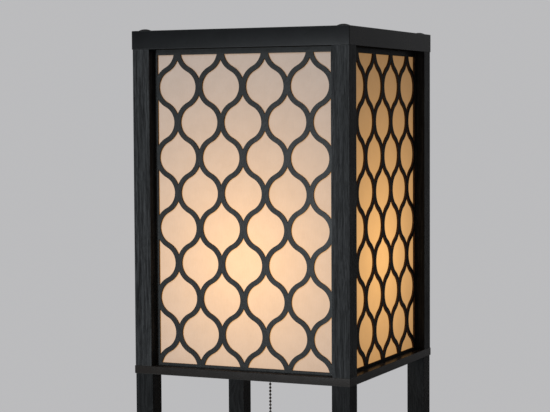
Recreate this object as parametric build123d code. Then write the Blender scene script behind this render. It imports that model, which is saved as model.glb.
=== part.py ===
from build123d import *
from math import asin, atan2, ceil, cos, degrees, pi, radians, sin, sqrt, tan
import os

# Shelf floor lamp: a square column of four posts that carries three shelves and, at the top, a
# four-sided shade of pierced panels over paper, with a pull-chain lampholder inside.
# Millimetres, +Z up, front towards -Y, origin on the floor under the middle of the lamp.

# ---------------------------------------------------------------- driving dimensions
# Boards, rails and posts
frame_width = 260.0            # outside of the boards and rails, both ways
rail_depth = 24.0              # rails of the top and base frames, outside to inside
top_rail_height = 20.7
base_rail_height = 9.0
shelf_thickness = 9.0
shade_post_height = 352.7
shade_post_size = 20.5
shade_post_setback = 0.5       # outer face of a shade post behind the rails
tier_post_height = 380.0
tier_post_size = 21.0
tier_post_setback = 0.9        # outer face of a tier post behind the boards
foot_post_height = 48.0
edge_radius = 0.6              # broken edges of boards, rails and posts
mitre_gap = 0.3                # open line at each mitred corner
stud_inset = 11.0              # bolt and stud axes, in from the outside of the frame

# Bolts, studs, inserts, dowels and glides
thread_radius = 3.0
bolt_length = 40.0             # under the head
bolt_head_radius = 7.0
bolt_head_height = 2.2
bolt_head_land = 0.5           # straight edge under the dome
hex_key = 4.0                  # across flats
hex_depth = 1.4
stud_hole_clearance = 0.3
stud_grip = 15.0               # of a stud in each post
insert_radius = 4.5
insert_length = 13.0
fit_clearance = 0.05           # around inserts, dowels and threads
hole_spare = 4.0               # of a post's hole beyond the stud or bolt
dowel_radius = 2.5
corner_dowel_length = 16.0
corner_dowel_inset = 7.5       # from the inner corner, along the mitre
bar_dowel_length = 20.0
bar_dowel_offset = 8.0         # from the middle of the crossbar
dowel_end_gap = 0.5
glide_radius = 9.0
glide_thickness = 3.0
glide_rim = 1.0                # rounding of the glide's sole
glide_pin_radius = 2.0
glide_pin_length = 11.0

# Shade panels
panel_recess = 11.2            # face of the lattice behind the outside of the frame
panel_side_gap = 3.0           # lattice to post
panel_top_gap = 0.3
lattice_thickness = 2.0
side_border = 2.0
top_border = 6.0
bottom_border = 3.2
strip_width = 5.5
joint_half_spread = 1.2        # strip centreline to the middle of a joint
cells_across = 4
cell_row_height = 39.0
pattern_drop = 1.2             # lowest row of joints below the foot of the panel
diffuser_thickness = 0.8
batten_width = 6.0
batten_depth = 5.0

# Crossbar, lamp pipe and its nuts
crossbar_width = 30.0
pipe_radius = 4.9
pipe_bore_radius = 3.8
pipe_hole_clearance = 0.2
pipe_below_nut = 3.0
pipe_above_nut = 6.8
nut_flats = 14.0
nut_height = 4.5
washer_radius = 10.0
washer_thickness = 1.2
bushing_radius = 7.0
bushing_height = 8.0
bushing_bore_radius = 3.2

# Lampholder
cap_radius = 17.6
cap_neck_radius = 8.0
cap_neck_height = 2.0
cap_floor = 7.0                # top of the cap's floor over its foot
cap_rim_height = 12.0
shell_radius = 16.5
shell_wall = 0.7
shell_height = 51.0
seat_clearance = 0.1           # shell in the cap's rim
block_clearance = 0.2          # block in the shell
block_height = 26.8
wire_well_radius = 9.0
wire_well_depth = 2.5
terminal_head_radius = 2.6
terminal_head_height = 1.5
terminal_shank_radius = 1.4
terminal_shank_length = 5.0
terminal_spread = 6.5
terminal_height = 5.0          # axis over the foot of the block
screw_bore_radius = 13.3
screw_wall = 0.5
screw_ridge = 0.6
screw_pitch = 3.629            # medium screw base, seven threads to the inch
screw_thread_length = 18.2     # holds as many whole threads as fit
screw_collar = 3.0             # plain height under the threads
screw_flange_radius = 15.2
contact_radius = 5.0
contact_height = 1.7
contact_rivet_radius = 1.5
contact_rivet_length = 4.0

# Pull switch
pivot_x = -7.0
pivot_height = 12.0            # over the foot of the block
lever_reach = 15.5             # pivot to chain, level
lever_swing = 45.0             # degrees, half above and half below level
lever_thickness = 3.0
lever_width = 2.4
lever_tip = 2.5                # of the fork beyond the chain
fork_width = 5.6
fork_slot = 1.6
fork_start = 11.5              # from the pivot
slot_start = 13.0
hub_radius = 3.0
hub_length = 6.0
hub_end = 1.8                  # end of the hub towards the rotor
pin_radius = 1.2
pin_length = 16.0
pin_clearance = 0.05
cavity_half_width = 5.4
cavity_below = 8.0
cavity_above = 9.0
cavity_behind = 8.0            # of the pivot
window_half_width = 3.4
rotor_radius = 5.6
rotor_root_radius = 4.6
rotor_teeth = 8
rotor_thickness = 2.6
rotor_gap = 0.4                # rotor to lever hub
spring_coil_radius = 1.25
spring_wire_radius = 0.25
spring_turns = 5
spring_reach = 5.0             # from the pivot
running_gap = 0.3              # between pieces that move on each other

# Chain, its guide and its pendant
stop_radius = 2.2
stop_link_length = 9.0         # from the stop ball to the first bead
bead_radius = 1.5
bead_pitch = 4.05
link_radius = 0.45
bead_count = 43
guide_wall = 1.0
guide_half_width = 5.2
guide_depth = 4.0              # chain to the inside of the guide's far wall
guide_below = 9.5              # floor of the guide under the pivot
mouth_radius = 4.2
mouth_bore_radius = 2.1
mouth_length = 5.0
mouth_flare = 1.4
pendant_radius = 4.0
pendant_neck_radius = 2.2
pendant_length = 18.0

# Bulb
bulb_radius = 30.0
bulb_length = 110.0
bulb_wall = 1.0
bulb_neck_radius = 12.6
bulb_neck_bottom = 22.0        # over the tip of the bulb
bulb_tangent_angle = 35.0      # below level, where the neck meets the globe
base_radius = 13.0
base_ridge = 0.6
base_wall = 0.5
base_bottom = 5.0
base_thread_length = 14.6
base_skirt = 5.5
tip_radius = 9.5
tip_button_radius = 4.6
tip_button_height = 1.6
stem_radius = 6.0
stem_top_radius = 2.5
stem_length = 40.0
filament_radius = 12.0
filament_wire_radius = 0.5

# ---------------------------------------------------------------- places that follow from them
half_width = frame_width / 2
stud_place = half_width - stud_inset
shelf_pitch = shelf_thickness + tier_post_height
shelf_foot = glide_thickness + foot_post_height
base_foot = shelf_foot + 3 * shelf_pitch
base_top = base_foot + base_rail_height
top_frame_foot = base_top + shade_post_height
lamp_top = top_frame_foot + top_rail_height
rail_inner = half_width - rail_depth
shade_post_inner = half_width - shade_post_setback - shade_post_size

hole_radius = thread_radius + stud_hole_clearance
hole_depth = max(stud_grip, bolt_length - top_rail_height) + hole_spare
stud_length_board = shelf_thickness + 2 * stud_grip
stud_length_base = base_rail_height + 2 * stud_grip

lattice_half_width = shade_post_inner - panel_side_gap
lattice_height = shade_post_height - panel_top_gap
lattice_front = half_width - panel_recess
diffuser_front = lattice_front - lattice_thickness
batten_front = diffuser_front - diffuser_thickness

nut_foot = base_top + washer_thickness
cap_foot = nut_foot + nut_height
lower_nut_foot = base_foot - washer_thickness - nut_height
pipe_foot = lower_nut_foot - pipe_below_nut
pipe_top = cap_foot + pipe_above_nut
block_foot = cap_foot + cap_floor
block_top = block_foot + block_height
block_radius = shell_radius - shell_wall - block_clearance
bulb_tip_z = block_top + contact_height + running_gap
globe_z = bulb_tip_z + bulb_length - bulb_radius

pivot_z = block_foot + pivot_height
chain_x = pivot_x - lever_reach
half_swing = radians(lever_swing / 2)
chain_travel = 2 * lever_reach * sin(half_swing)
fork_top_at_chain = lever_reach * tan(half_swing) + lever_thickness / 2 / cos(half_swing)
stop_z = pivot_z + fork_top_at_chain + (stop_radius + running_gap) / cos(half_swing)
first_bead_z = stop_z - stop_link_length
last_bead_z = first_bead_z - (bead_count - 1) * bead_pitch
guide_floor = pivot_z - guide_below
guide_roof = stop_z + stop_radius + running_gap

sides = {"front": 0, "right": 90, "back": 180, "left": 270}
corners = {"front_left": (-1, -1), "front_right": (1, -1), "back_right": (1, 1), "back_left": (-1, 1)}


# ---------------------------------------------------------------- small helpers
def save(name, shape):
    export_step(shape, f"parts/{name}.step")


def save_group(name, solids):
    export_step(Compound(children=[solid for solid in solids]), f"parts/{name}.step")


def block(x0, x1, y0, y1, z0, z1):
    """A box given by its limits."""
    box = Box(x1 - x0, y1 - y0, z1 - z0)
    return Pos((x0 + x1) / 2, (y0 + y1) / 2, (z0 + z1) / 2) * box


def rod(radius, z0, z1, x=0.0, y=0.0):
    """An upright cylinder from z0 to z1."""
    return Pos(x, y, (z0 + z1) / 2) * Cylinder(radius, z1 - z0)


def tube(outer, inner, z0, z1, x=0.0, y=0.0):
    return rod(outer, z0, z1, x, y) - rod(inner, z0, z1, x, y)


def rod_along_y(radius, y0, y1, x, z):
    return Pos(x, (y0 + y1) / 2, z) * Rot(90, 0, 0) * Cylinder(radius, y1 - y0)


def turned(outline):
    """A solid of revolution about Z from a closed outline of (radius, height) points."""
    face = make_face(Polyline(*outline, close=True))
    return revolve(Plane.XZ * face, Axis.Z)


def turned_curve(curve):
    """A solid of revolution about Z from a closed curve drawn in radius and height."""
    return revolve(Plane.XZ * make_face(curve), Axis.Z)


def at_corners(make):
    """One solid at each corner, from its two signs."""
    return [make(sx, sy) for sx, sy in corners.values()]


# ---------------------------------------------------------------- rails, boards and posts
def mitred_rail(z0, height):
    """Front rail of a mitred frame, with half a bolt hole in each end."""
    pull_back = mitre_gap / 2
    outline = [
        (-half_width + pull_back, -half_width),
        (half_width - pull_back, -half_width),
        (rail_inner - pull_back, -rail_inner),
        (-rail_inner + pull_back, -rail_inner),
    ]
    rail = extrude(Pos(0, 0, z0) * make_face(Polyline(*outline, close=True)), height)
    outer_edges = rail.edges().filter_by(Axis.X).group_by(Axis.Y)[0]
    rail = fillet(outer_edges, edge_radius)
    for sign in (-1, 1):
        rail -= rod(hole_radius, z0, z0 + height, sign * stud_place, -stud_place)
        rail -= corner_dowel(sign, -1, z0 + height / 2, fit_clearance, dowel_end_gap)
    return rail


def corner_dowel(sx, sy, z, extra_radius=0.0, extra_length=0.0):
    """A dowel square to the mitre, near the inner corner."""
    place = rail_inner + corner_dowel_inset / sqrt(2)
    dowel = Cylinder(dowel_radius + extra_radius, corner_dowel_length + 2 * extra_length)
    turn = 45 if sx * sy > 0 else -45
    return Pos(sx * place, sy * place, z) * Rot(0, 0, turn) * Rot(90, 0, 0) * dowel


def bar_dowel(x, end, extra_radius=0.0, extra_length=0.0):
    """A dowel between the crossbar and the rail at its end."""
    middle = end * rail_inner
    half = bar_dowel_length / 2 + extra_length
    height = base_foot + base_rail_height / 2
    return rod_along_y(dowel_radius + extra_radius, middle - half, middle + half, x, height)


def base_rail(angle):
    rail = mitred_rail(base_foot, base_rail_height)
    if angle in (sides["front"], sides["back"]):
        for x in (-bar_dowel_offset, bar_dowel_offset):
            rail -= bar_dowel(x, -1, fit_clearance, dowel_end_gap)
    return Rot(0, 0, angle) * rail


def top_rail(angle):
    return Rot(0, 0, angle) * mitred_rail(top_frame_foot, top_rail_height)


def crossbar():
    bar = block(-crossbar_width / 2, crossbar_width / 2, -rail_inner, rail_inner, base_foot, base_top)
    bar = fillet(bar.edges().filter_by(Axis.Y), edge_radius)
    bar -= rod(pipe_radius + pipe_hole_clearance, base_foot, base_top)
    for end in (-1, 1):
        for x in (-bar_dowel_offset, bar_dowel_offset):
            bar -= bar_dowel(x, end, fit_clearance, dowel_end_gap)
    return bar


def frame_dowels():
    dowels = []
    for z in (base_foot + base_rail_height / 2, top_frame_foot + top_rail_height / 2):
        dowels += at_corners(lambda sx, sy: corner_dowel(sx, sy, z))
    for end in (-1, 1):
        dowels += [bar_dowel(x, end) for x in (-bar_dowel_offset, bar_dowel_offset)]
    return dowels


def shelf(z0):
    """A board with a stud hole at each corner."""
    board = block(-half_width, half_width, -half_width, half_width, z0, z0 + shelf_thickness)
    board = fillet(board.edges(), edge_radius)
    for sx, sy in corners.values():
        board -= rod(hole_radius, z0, z0 + shelf_thickness, sx * stud_place, sy * stud_place)
    return board


def post_blank(sx, sy, size, setback, z0, z1):
    outer = half_width - setback
    centre = outer - size / 2
    post = Pos(sx * centre, sy * centre, (z0 + z1) / 2) * Box(size, size, z1 - z0)
    return fillet(post.edges().filter_by(Axis.Z), edge_radius)


def insert_hole(sx, sy, end_z, inward):
    """Stepped hole in a post's end; inward is +1 or -1 along Z."""
    x, y = sx * stud_place, sy * stud_place
    pocket = sorted((end_z, end_z + inward * insert_length))
    drill = sorted((end_z, end_z + inward * hole_depth))
    return rod(insert_radius + fit_clearance, *pocket, x, y) + rod(hole_radius, *drill, x, y)


def shade_post(sx, sy):
    post = post_blank(sx, sy, shade_post_size, shade_post_setback, base_top, top_frame_foot)
    post -= insert_hole(sx, sy, base_top, 1)
    post -= insert_hole(sx, sy, top_frame_foot, -1)
    return post


def tier_post(sx, sy, tier):
    z0 = shelf_foot + shelf_thickness + tier * shelf_pitch
    post = post_blank(sx, sy, tier_post_size, tier_post_setback, z0, z0 + tier_post_height)
    post -= insert_hole(sx, sy, z0, 1)
    post -= insert_hole(sx, sy, z0 + tier_post_height, -1)
    return post


def foot_post(sx, sy):
    post = post_blank(sx, sy, tier_post_size, tier_post_setback, glide_thickness, shelf_foot)
    post -= insert_hole(sx, sy, shelf_foot, -1)
    x, y = sx * stud_place, sy * stud_place
    pin_top = glide_thickness + glide_pin_length + dowel_end_gap
    post -= rod(glide_pin_radius + fit_clearance, glide_thickness, pin_top, x, y)
    return post


def foot_glide(sx, sy):
    """A round glide with a rounded sole and a pin up into the post."""
    sole = rod(glide_radius, 0, glide_thickness)
    sole = fillet(sole.edges().group_by(Axis.Z)[0], glide_rim)
    pin = rod(glide_pin_radius, glide_thickness, glide_thickness + glide_pin_length)
    return Pos(sx * stud_place, sy * stud_place, 0) * (sole + pin)


def tie_studs():
    studs = []
    for shelf_number in range(3):
        middle = shelf_foot + shelf_number * shelf_pitch + shelf_thickness / 2
        z0, z1 = middle - stud_length_board / 2, middle + stud_length_board / 2
        studs += at_corners(lambda sx, sy: rod(thread_radius, z0, z1, sx * stud_place, sy * stud_place))
    z0, z1 = base_foot - stud_grip, base_foot - stud_grip + stud_length_base
    studs += at_corners(lambda sx, sy: rod(thread_radius, z0, z1, sx * stud_place, sy * stud_place))
    return studs


def post_inserts():
    """Threaded inserts, each flush with the end of its post."""
    feet = [shelf_foot - insert_length, base_top, top_frame_foot - insert_length]
    for tier in range(3):
        z0 = shelf_foot + shelf_thickness + tier * shelf_pitch
        feet += [z0, z0 + tier_post_height - insert_length]
    bore = thread_radius + fit_clearance
    inserts = []
    for z0 in feet:
        z1 = z0 + insert_length
        inserts += at_corners(
            lambda sx, sy: tube(insert_radius, bore, z0, z1, sx * stud_place, sy * stud_place))
    return inserts


def top_bolt(sx, sy):
    """Low domed bolt with a hex socket, standing on the top frame."""
    rise = bolt_head_height - bolt_head_land
    dome_radius = (bolt_head_radius ** 2 + rise ** 2) / (2 * rise)
    land = rod(bolt_head_radius, lamp_top, lamp_top + bolt_head_height)
    dome = Pos(0, 0, lamp_top + bolt_head_height - dome_radius) * Sphere(dome_radius)
    head = land & dome
    socket = Pos(0, 0, lamp_top + bolt_head_height - hex_depth) * RegularPolygon(
        hex_key / 2, 6, major_radius=False)
    head -= extrude(socket, hex_depth)
    bolt = head + rod(thread_radius, lamp_top - bolt_length, lamp_top)
    return Pos(sx * stud_place, sy * stud_place, 0) * bolt


# ---------------------------------------------------------------- shade panels
def cell_face():
    """One opening of the lattice: two bulging sides that draw in to a point above and below.

    The strip between two joints is an S of two equal tangent arcs that stand upright at the joints.
    """
    half_pitch = lattice_half_width / cells_across
    run = half_pitch - 2 * joint_half_spread
    bend = (run ** 2 + cell_row_height ** 2) / (4 * run)
    side_centre = (half_pitch - joint_half_spread - bend, 0)
    tip_centre = (joint_half_spread + bend, cell_row_height)
    side_radius = bend - strip_width / 2
    tip_radius_of_cell = bend + strip_width / 2
    lean = degrees(atan2(cell_row_height, tip_centre[0] - side_centre[0]))
    drop = sqrt(tip_radius_of_cell ** 2 - tip_centre[0] ** 2)
    tip_angle = degrees(asin(drop / tip_radius_of_cell))
    side = CenterArc(side_centre, side_radius, -lean, 2 * lean)
    upper = CenterArc(tip_centre, tip_radius_of_cell, 180 + tip_angle, lean - tip_angle)
    lower = mirror(upper, Plane.XZ)
    right = [lower, side, upper]
    left = [mirror(edge, Plane.YZ) for edge in right]
    return make_face(Curve() + right + left)


def lattice_sketch():
    """The pierced panel, drawn with its foot at height 0."""
    pitch = 2 * lattice_half_width / cells_across
    light_width = 2 * (lattice_half_width - side_border)
    light_height = lattice_height - top_border - bottom_border
    light = Pos(0, bottom_border + light_height / 2) * Rectangle(light_width, light_height)
    cell = cell_face()
    cells = []
    for row in range(ceil(lattice_height / cell_row_height) + 1):
        height = row * cell_row_height - pattern_drop
        shift = 0.5 if row % 2 == 0 else 0.0
        count = cells_across if row % 2 == 0 else cells_across + 1
        for column in range(count):
            across = (column + shift) * pitch - lattice_half_width
            cells.append(light & Pos(across, height) * cell)
    panel = Pos(0, lattice_height / 2) * Rectangle(2 * lattice_half_width, lattice_height)
    return panel - cells


def lattice(sketch, angle):
    plane = Plane((0, -diffuser_front, base_top), x_dir=(1, 0, 0), z_dir=(0, -1, 0))
    panel = extrude(plane * sketch, lattice_thickness)
    return Rot(0, 0, angle) * panel


def diffuser(angle):
    sheet = block(-lattice_half_width, lattice_half_width, -diffuser_front, -batten_front,
                  base_top, base_top + lattice_height)
    return Rot(0, 0, angle) * sheet


def stop_battens():
    """Two upright battens behind each panel, fixed to the posts."""
    battens = []
    for angle in sides.values():
        for sign in (-1, 1):
            x0, x1 = sorted((sign * shade_post_inner, sign * (shade_post_inner - batten_width)))
            batten = block(x0, x1, -batten_front, batten_depth - batten_front, base_top, top_frame_foot)
            battens.append(Rot(0, 0, angle) * batten)
    return battens


# ---------------------------------------------------------------- lamp pipe and lampholder
def lamp_pipe():
    return tube(pipe_radius, pipe_bore_radius, pipe_foot, pipe_top)


def pipe_nut(z0):
    nut = extrude(Pos(0, 0, z0) * RegularPolygon(nut_flats / 2, 6, major_radius=False), nut_height)
    return nut - rod(pipe_radius + fit_clearance, z0, z0 + nut_height)


def pipe_washer(z0):
    return tube(washer_radius, pipe_radius + pipe_hole_clearance, z0, z0 + washer_thickness)


def cord_bushing():
    """Cap with a rounded bore on the lower end of the pipe, where the lead goes in."""
    z0 = lower_nut_foot - bushing_height
    bushing = rod(bushing_radius, z0, lower_nut_foot)
    bushing = fillet(bushing.edges().group_by(Axis.Z)[0], edge_radius)
    bushing -= rod(bushing_bore_radius, z0, lower_nut_foot)
    return bushing - rod(pipe_radius + fit_clearance, pipe_foot, lower_nut_foot)


def socket_cap():
    """Cup that screws onto the pipe and holds the shell and the block."""
    rim_bore = shell_radius + seat_clearance
    bore = pipe_radius + fit_clearance
    outline = [
        (bore, cap_foot),
        (cap_neck_radius, cap_foot),
        (cap_neck_radius, cap_foot + cap_neck_height),
        (cap_radius, cap_foot + cap_floor),
        (cap_radius, cap_foot + cap_rim_height),
        (rim_bore, cap_foot + cap_rim_height),
        (rim_bore, cap_foot + cap_floor),
        (bore, cap_foot + cap_floor),
    ]
    return turned(outline)


def socket_shell():
    """Outer sleeve with a window for the lever."""
    sleeve = tube(shell_radius, shell_radius - shell_wall, block_foot, block_foot + shell_height)
    return sleeve - lever_window()


def lever_window():
    return block(-cap_radius, pivot_x, -window_half_width, window_half_width,
                 pivot_z - cavity_below, pivot_z + cavity_above)


def switch_block():
    """Moulded body: lever cavity, wire well below, terminal pockets and contact seat above."""
    body = rod(block_radius, block_foot, block_top)
    body -= rod(wire_well_radius, block_foot, block_foot + wire_well_depth)
    body -= block(pivot_x, pivot_x + cavity_behind, -cavity_half_width, cavity_half_width,
                  pivot_z - cavity_below, pivot_z + cavity_above)
    body -= block(-block_radius + guide_wall, pivot_x, -cavity_half_width, cavity_half_width,
                  pivot_z - cavity_below, pivot_z + cavity_above)
    body -= lever_window()
    body -= rod_along_y(pin_radius + fit_clearance / 2, -pin_length / 2, pin_length / 2, pivot_x, pivot_z)
    body -= rod(contact_rivet_radius + fit_clearance, block_top - contact_rivet_length - dowel_end_gap,
                block_top)
    for side in (-1, 1):
        body -= terminal(side, fit_clearance, terminal_head_height + terminal_head_radius)
    return body


def terminal(side, extra_radius=0.0, head_height=terminal_head_height):
    """Terminal screw that goes into the block from the right, below its surface."""
    face_x = sqrt(block_radius ** 2 - (terminal_spread + terminal_head_radius) ** 2)
    seat_x = face_x - terminal_head_height
    head = Pos(seat_x + head_height / 2, 0, 0) * Rot(0, 90, 0) * Cylinder(
        terminal_head_radius + extra_radius, head_height)
    shank = Pos(seat_x - terminal_shank_length / 2, 0, 0) * Rot(0, 90, 0) * Cylinder(
        terminal_shank_radius + extra_radius, terminal_shank_length)
    return Pos(0, side * terminal_spread, block_foot + terminal_height) * (head + shank)


def ridged_line(radius, ridge, z0, length):
    """Points up a wall of that length with whole threads, from root to crest and back in each."""
    points = []
    threads = int(length / screw_pitch)
    for turn in range(threads):
        foot = z0 + turn * screw_pitch
        points += [(radius, foot), (radius + ridge, foot + screw_pitch / 2)]
    return points + [(radius, z0 + threads * screw_pitch), (radius, z0 + length)]


def screw_shell():
    """Threaded liner that stands on the block by its flange."""
    thread_foot = block_top + screw_collar
    inner = ridged_line(screw_bore_radius, screw_ridge, thread_foot, screw_thread_length)
    outer = [(radius + screw_wall, height) for radius, height in reversed(inner)]
    outline = [(screw_bore_radius, block_top)] + inner + outer
    outline += [
        (screw_bore_radius + screw_wall, block_top + screw_wall),
        (screw_flange_radius, block_top + screw_wall),
        (screw_flange_radius, block_top),
    ]
    return turned(outline)


def centre_contact():
    """Sprung centre contact, domed, with its rivet down in the block."""
    rise = contact_height
    dome_radius = (contact_radius ** 2 + rise ** 2) / (2 * rise)
    disc = rod(contact_radius, block_top, block_top + contact_height)
    dome = Pos(0, 0, block_top + contact_height - dome_radius) * Sphere(dome_radius)
    return (disc & dome) + rod(contact_rivet_radius, block_top - contact_rivet_length, block_top)


# ---------------------------------------------------------------- pull switch
def tilted(shape):
    """A piece drawn level about the pivot, turned up to where the switch rests."""
    return Pos(pivot_x, 0, pivot_z) * Rot(0, lever_swing / 2, 0) * shape


def switch_lever():
    """Arm with a hub on the pivot pin and a fork that straddles the chain."""
    tip = lever_reach + lever_tip
    half_thick = lever_thickness / 2
    arm = block(-tip, 0, -lever_width / 2, lever_width / 2, -half_thick, half_thick)
    fork = block(-tip, -fork_start, -fork_width / 2, fork_width / 2, -half_thick, half_thick)
    slot = block(-tip, -slot_start, -fork_slot / 2, fork_slot / 2, -half_thick, half_thick)
    hub = rod_along_y(hub_radius, hub_end - hub_length, hub_end, 0, 0)
    bore = rod_along_y(pin_radius + pin_clearance, hub_end - hub_length, hub_end, 0, 0)
    return tilted(arm + fork + hub - slot - bore)


def lever_pin():
    return rod_along_y(pin_radius, -pin_length / 2, pin_length / 2, pivot_x, pivot_z)


def contact_rotor():
    """Ratchet wheel beside the lever, one tooth for each pull."""
    points = []
    for tooth in range(rotor_teeth):
        angle = 2 * pi * tooth / rotor_teeth
        points.append((rotor_root_radius * cos(angle), rotor_root_radius * sin(angle)))
        points.append((rotor_radius * cos(angle), rotor_radius * sin(angle)))
    wheel = extrude(make_face(Polyline(*points, close=True)), rotor_thickness)
    wheel -= Cylinder(pin_radius + pin_clearance, 2 * rotor_thickness)
    return Pos(pivot_x, hub_end + rotor_gap + rotor_thickness, pivot_z) * Rot(90, 0, 0) * wheel


def return_spring():
    """Coil spring under the lever's arm that lifts it after a pull."""
    foot = pivot_z - cavity_below + spring_wire_radius
    arm_underside = spring_reach * tan(half_swing) - lever_thickness / 2 / cos(half_swing)
    tilt_room = (spring_coil_radius + spring_wire_radius) * tan(half_swing)
    top = pivot_z + arm_underside - tilt_room - spring_wire_radius
    height = top - foot
    coil = Helix(height / spring_turns, height, spring_coil_radius)
    section = Plane(origin=coil @ 0, z_dir=coil % 0) * Circle(spring_wire_radius)
    return Pos(pivot_x - spring_reach, 0, foot) * sweep(section, path=coil, is_frenet=True)


# ---------------------------------------------------------------- chain
def pull_chain():
    """Stop ball, link and a row of beads on short links, as one string."""
    chain = Pos(chain_x, 0, stop_z) * Sphere(stop_radius)
    chain += rod(link_radius, last_bead_z, stop_z, chain_x)
    for bead in range(bead_count):
        chain += Pos(chain_x, 0, first_bead_z - bead * bead_pitch) * Sphere(bead_radius)
    return chain


def chain_guide():
    """Housing on the side of the shell that covers the fork, with a flared mouth below."""
    far = chain_x - guide_depth
    outer = block(far - guide_wall, -shell_radius / 2, -guide_half_width, guide_half_width,
                  guide_floor - guide_wall, guide_roof + guide_wall)
    outer = fillet(outer.edges().filter_by(Axis.Z).group_by(Axis.X)[0], guide_wall)
    hollow_half = guide_half_width - guide_wall
    outer -= block(far, -shell_radius / 2, -hollow_half, hollow_half, guide_floor, guide_roof)
    mouth_foot = guide_floor - guide_wall - mouth_length
    outer += rod(mouth_radius, mouth_foot, guide_floor - guide_wall, chain_x)
    outer -= rod(mouth_bore_radius, mouth_foot, guide_floor, chain_x)
    flare = Cone(mouth_bore_radius + mouth_flare, mouth_bore_radius, mouth_flare)
    outer -= Pos(chain_x, 0, mouth_foot + mouth_flare / 2) * flare
    outer -= rod(shell_radius + fit_clearance, mouth_foot, guide_roof + 2 * guide_wall)
    return outer - rod(cap_radius + seat_clearance, mouth_foot, cap_foot + cap_rim_height + seat_clearance)


def chain_pendant():
    """Small bell that hides the end of the chain."""
    top = last_bead_z - bead_radius
    bottom = top - pendant_length
    bell = Line((0, top), (pendant_neck_radius, top))
    flank = Spline((pendant_neck_radius, top), (pendant_radius, bottom + pendant_radius),
                   tangents=((0, -1), (0, -1)))
    end = CenterArc((0, bottom + pendant_radius), pendant_radius, -90, 90)
    axis = Line((0, bottom), (0, top))
    return Pos(chain_x, 0, 0) * turned_curve(Curve() + [bell, flank, end, axis])


# ---------------------------------------------------------------- bulb
def bulb_profile(inset):
    """Edges of the envelope from the neck to the crown, moved inwards by inset."""
    radius = bulb_radius - inset
    start = (bulb_neck_radius - inset, bulb_tip_z + bulb_neck_bottom)
    angle = radians(-bulb_tangent_angle)
    meet = (radius * cos(angle), globe_z + radius * sin(angle))
    neck = Spline(start, meet, tangents=((0, 1), (-sin(angle), cos(angle))))
    globe = CenterArc((0, globe_z), radius, -bulb_tangent_angle, 90 + bulb_tangent_angle)
    return start, neck, globe


def bulb_glass():
    """Pear-shaped envelope, open at the foot of the neck."""
    outer_start, outer_neck, outer_globe = bulb_profile(0.0)
    inner_start, inner_neck, inner_globe = bulb_profile(bulb_wall)
    crown = Line((0, globe_z + bulb_radius), (0, globe_z + bulb_radius - bulb_wall))
    foot = Line(inner_start, outer_start)
    edges = [outer_neck, outer_globe, crown, inner_globe, inner_neck, foot]
    return turned_curve(Curve() + edges)


def bulb_base():
    """Screw base of the bulb: a threaded sleeve with a plain skirt round the neck."""
    foot = bulb_tip_z + base_bottom
    outer = ridged_line(base_radius - base_ridge, base_ridge, foot, base_thread_length)
    skirt_top = outer[-1][1] + base_skirt
    skirt_bore = bulb_neck_radius + fit_clearance
    thread_bore = base_radius - base_ridge - base_wall
    shoulder = bulb_tip_z + bulb_neck_bottom - fit_clearance
    outline = outer + [
        (base_radius + base_wall, outer[-1][1] + base_wall),
        (base_radius + base_wall, skirt_top),
        (skirt_bore, skirt_top),
        (skirt_bore, shoulder),
        (thread_bore, shoulder),
        (thread_bore, foot),
    ]
    return turned(outline)


def bulb_tip():
    """Insulator and contact button under the screw base."""
    foot = bulb_tip_z + base_bottom
    outline = [
        (0, bulb_tip_z),
        (tip_button_radius, bulb_tip_z),
        (tip_button_radius, bulb_tip_z + tip_button_height),
        (tip_radius, foot),
        (0, foot),
    ]
    return turned(outline)


def bulb_stem():
    """Glass stem that stands in the neck and carries the filament."""
    foot = bulb_tip_z + base_bottom
    return turned([(0, foot), (stem_radius, foot), (stem_top_radius, foot + stem_length),
                   (0, foot + stem_length)])


def bulb_filament():
    """Ring filament round the head of the stem, with two lead wires down into it."""
    ring_z = bulb_tip_z + base_bottom + stem_length
    ring = Pos(0, 0, ring_z) * Torus(filament_radius, filament_wire_radius)
    reach = filament_radius - stem_top_radius
    for side in (-1, 1):
        wire = Cylinder(filament_wire_radius, reach)
        ring += Pos(side * (stem_top_radius + reach / 2), 0, ring_z) * Rot(0, 90, 0) * wire
    return ring


# ---------------------------------------------------------------- write every piece
save_group("foot_glides", at_corners(foot_glide))
save_group("foot_posts", at_corners(foot_post))
for number, level in enumerate(("lower", "middle", "upper")):
    save(f"shelf_{level}", shelf(shelf_foot + number * shelf_pitch))
save_group("lower_posts", at_corners(lambda sx, sy: tier_post(sx, sy, 0)))
save_group("middle_posts", at_corners(lambda sx, sy: tier_post(sx, sy, 1)))
for corner, (sx, sy) in corners.items():
    save(f"upper_post_{corner}", tier_post(sx, sy, 2))
    save(f"shade_post_{corner}", shade_post(sx, sy))
save_group("tie_studs", tie_studs())
save_group("post_inserts", post_inserts())
save_group("top_bolts", at_corners(top_bolt))
save_group("frame_dowels", frame_dowels())

panel_sketch = lattice_sketch()
for side_name, side_angle in sides.items():
    save(f"base_rail_{side_name}", base_rail(side_angle))
    save(f"top_rail_{side_name}", top_rail(side_angle))
    save(f"lattice_{side_name}", lattice(panel_sketch, side_angle))
    save(f"diffuser_{side_name}", diffuser(side_angle))
save_group("stop_battens", stop_battens())

save("crossbar", crossbar())
save("lamp_pipe", lamp_pipe())
save_group("pipe_nuts", [pipe_nut(lower_nut_foot), pipe_nut(nut_foot)])
save_group("pipe_washers", [pipe_washer(base_foot - washer_thickness), pipe_washer(base_top)])
save("cord_bushing", cord_bushing())
save("socket_cap", socket_cap())
save("socket_shell", socket_shell())
save("switch_block", switch_block())
save_group("terminal_screws", [terminal(-1), terminal(1)])
save("screw_shell", screw_shell())
save("centre_contact", centre_contact())

save("switch_lever", switch_lever())
save("lever_pin", lever_pin())
save("contact_rotor", contact_rotor())
save("return_spring", return_spring())
save("chain_guide", chain_guide())
save("pull_chain", pull_chain())
save("chain_pendant", chain_pendant())

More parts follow.
